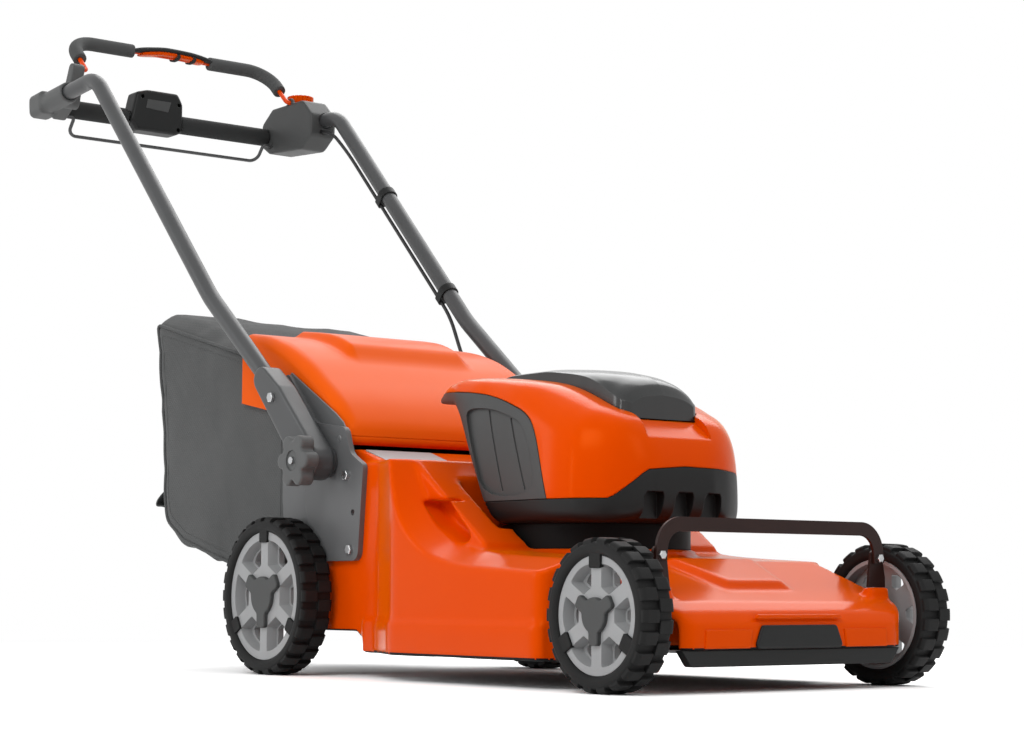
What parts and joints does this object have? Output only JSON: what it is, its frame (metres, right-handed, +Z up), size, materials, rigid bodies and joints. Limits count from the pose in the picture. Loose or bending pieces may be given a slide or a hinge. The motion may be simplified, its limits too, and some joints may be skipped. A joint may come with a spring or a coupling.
{
  "type": "lawn mower",
  "caption": "Battery walk-behind lawn mower with a rear grass bag, a hinged rear flap, a folding handle with switch bails, treaded wheels and a blade in a round chamber.",
  "frame": {"origin": "on the ground under the middle of the rear axle, which is also under the middle of the whole mower's bounding box", "axes": "+X points forward, +Y to the left of someone walking behind the mower, +Z up"},
  "size_m": [1.6154, 0.5568, 1.081],
  "materials": {
    "orange_plastic": "gloss",
    "black_plastic": "satin",
    "dark_grey_plastic": "satin",
    "silver_grey_plastic": "satin",
    "tyre_rubber": "matte",
    "grip_foam": "matte",
    "black_rubber": "matte",
    "dark_painted_steel": "satin",
    "orange_painted_steel": "gloss",
    "grey_painted_steel": "satin",
    "zinc_steel": "satin",
    "motor_aluminium": "satin",
    "motor_iron": "matte",
    "blade_steel": "satin",
    "board_green": "satin",
    "bag_fabric": "woven"
  },
  "bodies": {
    "deck": {"deck_shell": "orange_plastic", "front_bumper": "dark_grey_plastic", "front_skirt": "black_plastic", "carry_band": "dark_painted_steel", "carry_band_brackets": "dark_painted_steel", "deck_bolts": "zinc_steel", "motor_plinth": "dark_grey_plastic", "motor_case": "motor_aluminium", "motor_stator": "motor_iron", "motor_bearings": "zinc_steel", "drive_gearbox": "black_plastic", "base_cover": "black_plastic", "hood": "orange_plastic", "side_vents": "dark_grey_plastic", "hinge_pins": "zinc_steel", "battery_tray": "black_plastic", "battery_pack": "black_plastic", "controller_board": "board_green", "handle_brackets": "grey_painted_steel", "front_axle": "zinc_steel", "rear_axle": "zinc_steel"},
    "cutter": {"motor_rotor": "motor_iron", "blade_hub": "motor_aluminium", "blade": "blade_steel", "blade_bolt": "zinc_steel"},
    "lid": {"battery_lid": "dark_grey_plastic"},
    "handle": {"handle_tube_right": "dark_painted_steel", "handle_tube_left": "dark_painted_steel", "handle_lugs": "dark_grey_plastic", "lug_bolts": "zinc_steel", "cross_bar": "dark_painted_steel", "bar_grips": "grip_foam", "corner_socket": "dark_grey_plastic", "control_box": "dark_grey_plastic", "start_console": "dark_grey_plastic", "control_cable": "black_rubber", "cable_clips": "black_plastic"},
    "drive_bail": {"bail_wire": "orange_painted_steel", "bail_grips": "grip_foam", "bail_paddle": "dark_grey_plastic"},
    "presence_bail": {"lower_bail": "dark_painted_steel"},
    "dial": {"speed_dial": "orange_plastic"},
    "button": {"start_button": "orange_plastic"},
    "knob_right": {"star_knob_right": "black_plastic"},
    "knob_left": {"star_knob_left": "black_plastic"},
    "flap": {"rear_flap": "orange_plastic"},
    "collector": {"grass_bag": "bag_fabric", "bag_frame": "black_plastic"},
    "front_right_wheel": {"front_right_tyre": "tyre_rubber", "front_right_rim": "silver_grey_plastic", "front_right_hub_cap": "dark_grey_plastic"},
    "front_left_wheel": {"front_left_tyre": "tyre_rubber", "front_left_rim": "silver_grey_plastic", "front_left_hub_cap": "dark_grey_plastic"},
    "rear_right_wheel": {"rear_right_tyre": "tyre_rubber", "rear_right_rim": "silver_grey_plastic", "rear_right_hub_cap": "dark_grey_plastic"},
    "rear_left_wheel": {"rear_left_tyre": "tyre_rubber", "rear_left_rim": "silver_grey_plastic", "rear_left_hub_cap": "dark_grey_plastic"}
  },
  "joints": [
    {"name": "front_right_wheel_roll", "type": "hinge", "parent": "deck", "child": "front_right_wheel", "pos_m": [0.718, -0.2315, 0.09], "axis": [0, 1, 0], "continuous": true},
    {"name": "front_left_wheel_roll", "type": "hinge", "parent": "deck", "child": "front_left_wheel", "pos_m": [0.718, 0.2315, 0.09], "axis": [0, 1, 0], "continuous": true},
    {"name": "rear_right_wheel_roll", "type": "hinge", "parent": "deck", "child": "rear_right_wheel", "pos_m": [0, -0.24, 0.11], "axis": [0, 1, 0], "continuous": true},
    {"name": "rear_left_wheel_roll", "type": "hinge", "parent": "deck", "child": "rear_left_wheel", "pos_m": [0, 0.24, 0.11], "axis": [0, 1, 0], "continuous": true},
    {"name": "cutter_spin", "type": "hinge", "parent": "deck", "child": "cutter", "pos_m": [0.415, 0, 0.041], "axis": [0, 0, 1], "continuous": true},
    {"name": "lid_hinge", "type": "hinge", "parent": "deck", "child": "lid", "pos_m": [0.276, 0, 0.381], "axis": [0, 1, 0], "range_deg": [-70, 0]},
    {"name": "handle_fold", "type": "hinge", "parent": "deck", "child": "handle", "pos_m": [0.094, 0, 0.295], "axis": [0, 1, 0], "range_deg": [0, 120]},
    {"name": "drive_bail_pull", "type": "hinge", "parent": "handle", "child": "drive_bail", "pos_m": [-0.705, 0, 1], "axis": [0, 1, 0], "range_deg": [-28, 0], "stiffness_Nm_per_rad": 1.5, "springref_deg": 34.38},
    {"name": "presence_bail_pull", "type": "hinge", "parent": "handle", "child": "presence_bail", "pos_m": [-0.768, 0, 0.93], "axis": [0, 1, 0], "range_deg": [0, 28], "stiffness_Nm_per_rad": 0.5, "springref_deg": -28.65},
    {"name": "speed_dial_turn", "type": "hinge", "parent": "handle", "child": "dial", "pos_m": [-0.719, 0.238, 1], "axis": [0, 0, 1], "range_deg": [-60, 60]},
    {"name": "start_button_push", "type": "slide", "parent": "handle", "child": "button", "axis": [1, 0, 0], "range_m": [0, 0.002], "stiffness_N_per_m": 500, "springref_m": -0.002},
    {"name": "knob_right_turn", "type": "hinge", "parent": "deck", "child": "knob_right", "pos_m": [0.094, -0.265, 0.295], "axis": [0, 1, 0], "range_deg": [0, 360]},
    {"name": "knob_left_turn", "type": "hinge", "parent": "deck", "child": "knob_left", "pos_m": [0.094, 0.265, 0.295], "axis": [0, 1, 0], "range_deg": [0, 360]},
    {"name": "flap_hinge", "type": "hinge", "parent": "deck", "child": "flap", "pos_m": [0.118, 0, 0.327], "axis": [0, 1, 0], "range_deg": [0, 60]},
    {"name": "collector_pull", "type": "slide", "parent": "deck", "child": "collector", "axis": [-1, 0, 0], "range_m": [0, 0.45]}
  ]
}
